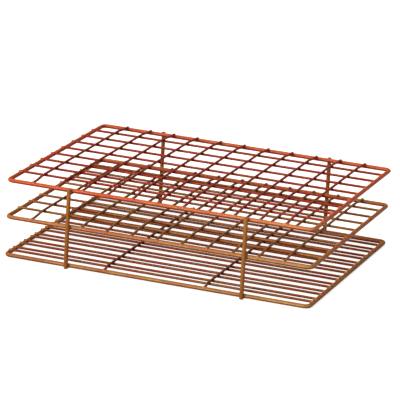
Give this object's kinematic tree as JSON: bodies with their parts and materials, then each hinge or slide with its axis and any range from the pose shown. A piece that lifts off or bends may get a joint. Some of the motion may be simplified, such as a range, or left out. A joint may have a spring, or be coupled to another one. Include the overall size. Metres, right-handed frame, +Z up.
{
  "type": "test tube rack",
  "caption": "Free-standing welded wire rack with two grids of square cells over a tier of support wires, for holding test tubes upright; orange epoxy coating.",
  "frame": {"origin": "on the table, under the middle of the rack: the centre of the bottom of its box, level with the lower ends of the uprights", "axes": "+X along the rack's length, to the right as seen from the front; +Y from front to back; +Z up"},
  "size_m": [0.295, 0.229, 0.0773],
  "materials": {
    "top_tier_coating": "glossy epoxy coating, red-orange",
    "lower_tier_coating": "glossy epoxy coating, amber orange",
    "upright_coating": "glossy epoxy coating, orange"
  },
  "bodies": {
    "root": {"bottom_frame": "lower_tier_coating", "support_wire_pair_1": "lower_tier_coating", "support_wire_pair_2": "lower_tier_coating", "support_wire_pair_3": "lower_tier_coating", "support_wire_pair_4": "lower_tier_coating", "support_wire_pair_5": "lower_tier_coating", "support_wire_pair_6": "lower_tier_coating", "support_wire_pair_7": "lower_tier_coating", "support_wire_pair_8": "lower_tier_coating", "support_wire_pair_9": "lower_tier_coating", "bottom_cross_wire_1": "lower_tier_coating", "bottom_cross_wire_2": "lower_tier_coating", "middle_frame": "lower_tier_coating", "middle_long_wire_1": "lower_tier_coating", "middle_long_wire_2": "lower_tier_coating", "middle_long_wire_3": "lower_tier_coating", "middle_long_wire_4": "lower_tier_coating", "middle_long_wire_5": "lower_tier_coating", "middle_long_wire_6": "lower_tier_coating", "middle_long_wire_7": "lower_tier_coating", "middle_long_wire_8": "lower_tier_coating", "middle_cross_wire_1": "lower_tier_coating", "middle_cross_wire_2": "lower_tier_coating", "middle_cross_wire_3": "lower_tier_coating", "middle_cross_wire_4": "lower_tier_coating", "middle_cross_wire_5": "lower_tier_coating", "middle_cross_wire_6": "lower_tier_coating", "middle_cross_wire_7": "lower_tier_coating", "middle_cross_wire_8": "lower_tier_coating", "middle_cross_wire_9": "lower_tier_coating", "middle_cross_wire_10": "lower_tier_coating", "middle_cross_wire_11": "lower_tier_coating", "top_frame": "top_tier_coating", "top_long_wire_1": "top_tier_coating", "top_long_wire_2": "top_tier_coating", "top_long_wire_3": "top_tier_coating", "top_long_wire_4": "top_tier_coating", "top_long_wire_5": "top_tier_coating", "top_long_wire_6": "top_tier_coating", "top_long_wire_7": "top_tier_coating", "top_long_wire_8": "top_tier_coating", "top_cross_wire_1": "top_tier_coating", "top_cross_wire_2": "top_tier_coating", "top_cross_wire_3": "top_tier_coating", "top_cross_wire_4": "top_tier_coating", "top_cross_wire_5": "top_tier_coating", "top_cross_wire_6": "top_tier_coating", "top_cross_wire_7": "top_tier_coating", "top_cross_wire_8": "top_tier_coating", "top_cross_wire_9": "top_tier_coating", "top_cross_wire_10": "top_tier_coating", "top_cross_wire_11": "top_tier_coating", "upright_front_left": "upright_coating", "upright_front_right": "upright_coating", "upright_back_left": "upright_coating", "upright_back_right": "upright_coating"}
  },
  "joints": []
}
